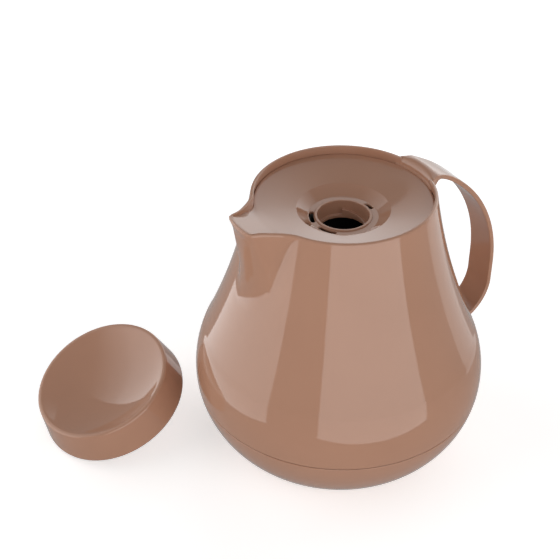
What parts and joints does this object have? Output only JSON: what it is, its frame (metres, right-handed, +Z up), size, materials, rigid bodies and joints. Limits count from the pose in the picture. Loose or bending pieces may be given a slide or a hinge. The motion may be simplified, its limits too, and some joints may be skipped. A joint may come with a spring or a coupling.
{
  "type": "insulated teapot",
  "caption": "Pear-shaped insulated pot with a short beak, a flared strap handle, a dished pouring tray over a double glass flask, and a loose dished lid leaning beside it.",
  "frame": {"origin": "on the pot's upright axis, in the plane that the pot stands on", "axes": "+Z up, +X towards the handle and away from the beak, the lid on the -X and +Y side"},
  "size_m": [0.253, 0.1883, 0.1607],
  "materials": {
    "moulding": "polished dusty terracotta rose",
    "flask_glass": "silvered on the faces towards the vacuum",
    "spacer": "matt mineral board",
    "seal_rubber": "satin silicone"
  },
  "bodies": {
    "pot": {"outer_body": "moulding", "base_cap": "moulding", "pouring_tray": "moulding", "inner_flask": "flask_glass", "outer_flask": "flask_glass", "flask_spacers": "spacer", "neck_gasket": "seal_rubber", "base_cushion": "seal_rubber"},
    "lid": {"lid_shell": "moulding", "lid_plate": "moulding", "lid_seal": "seal_rubber"}
  },
  "joints": [
    {"name": "lid_lift", "type": "slide", "parent": "pot", "child": "lid", "axis": [0, 0, 1], "range_m": [0, 0.18]}
  ]
}
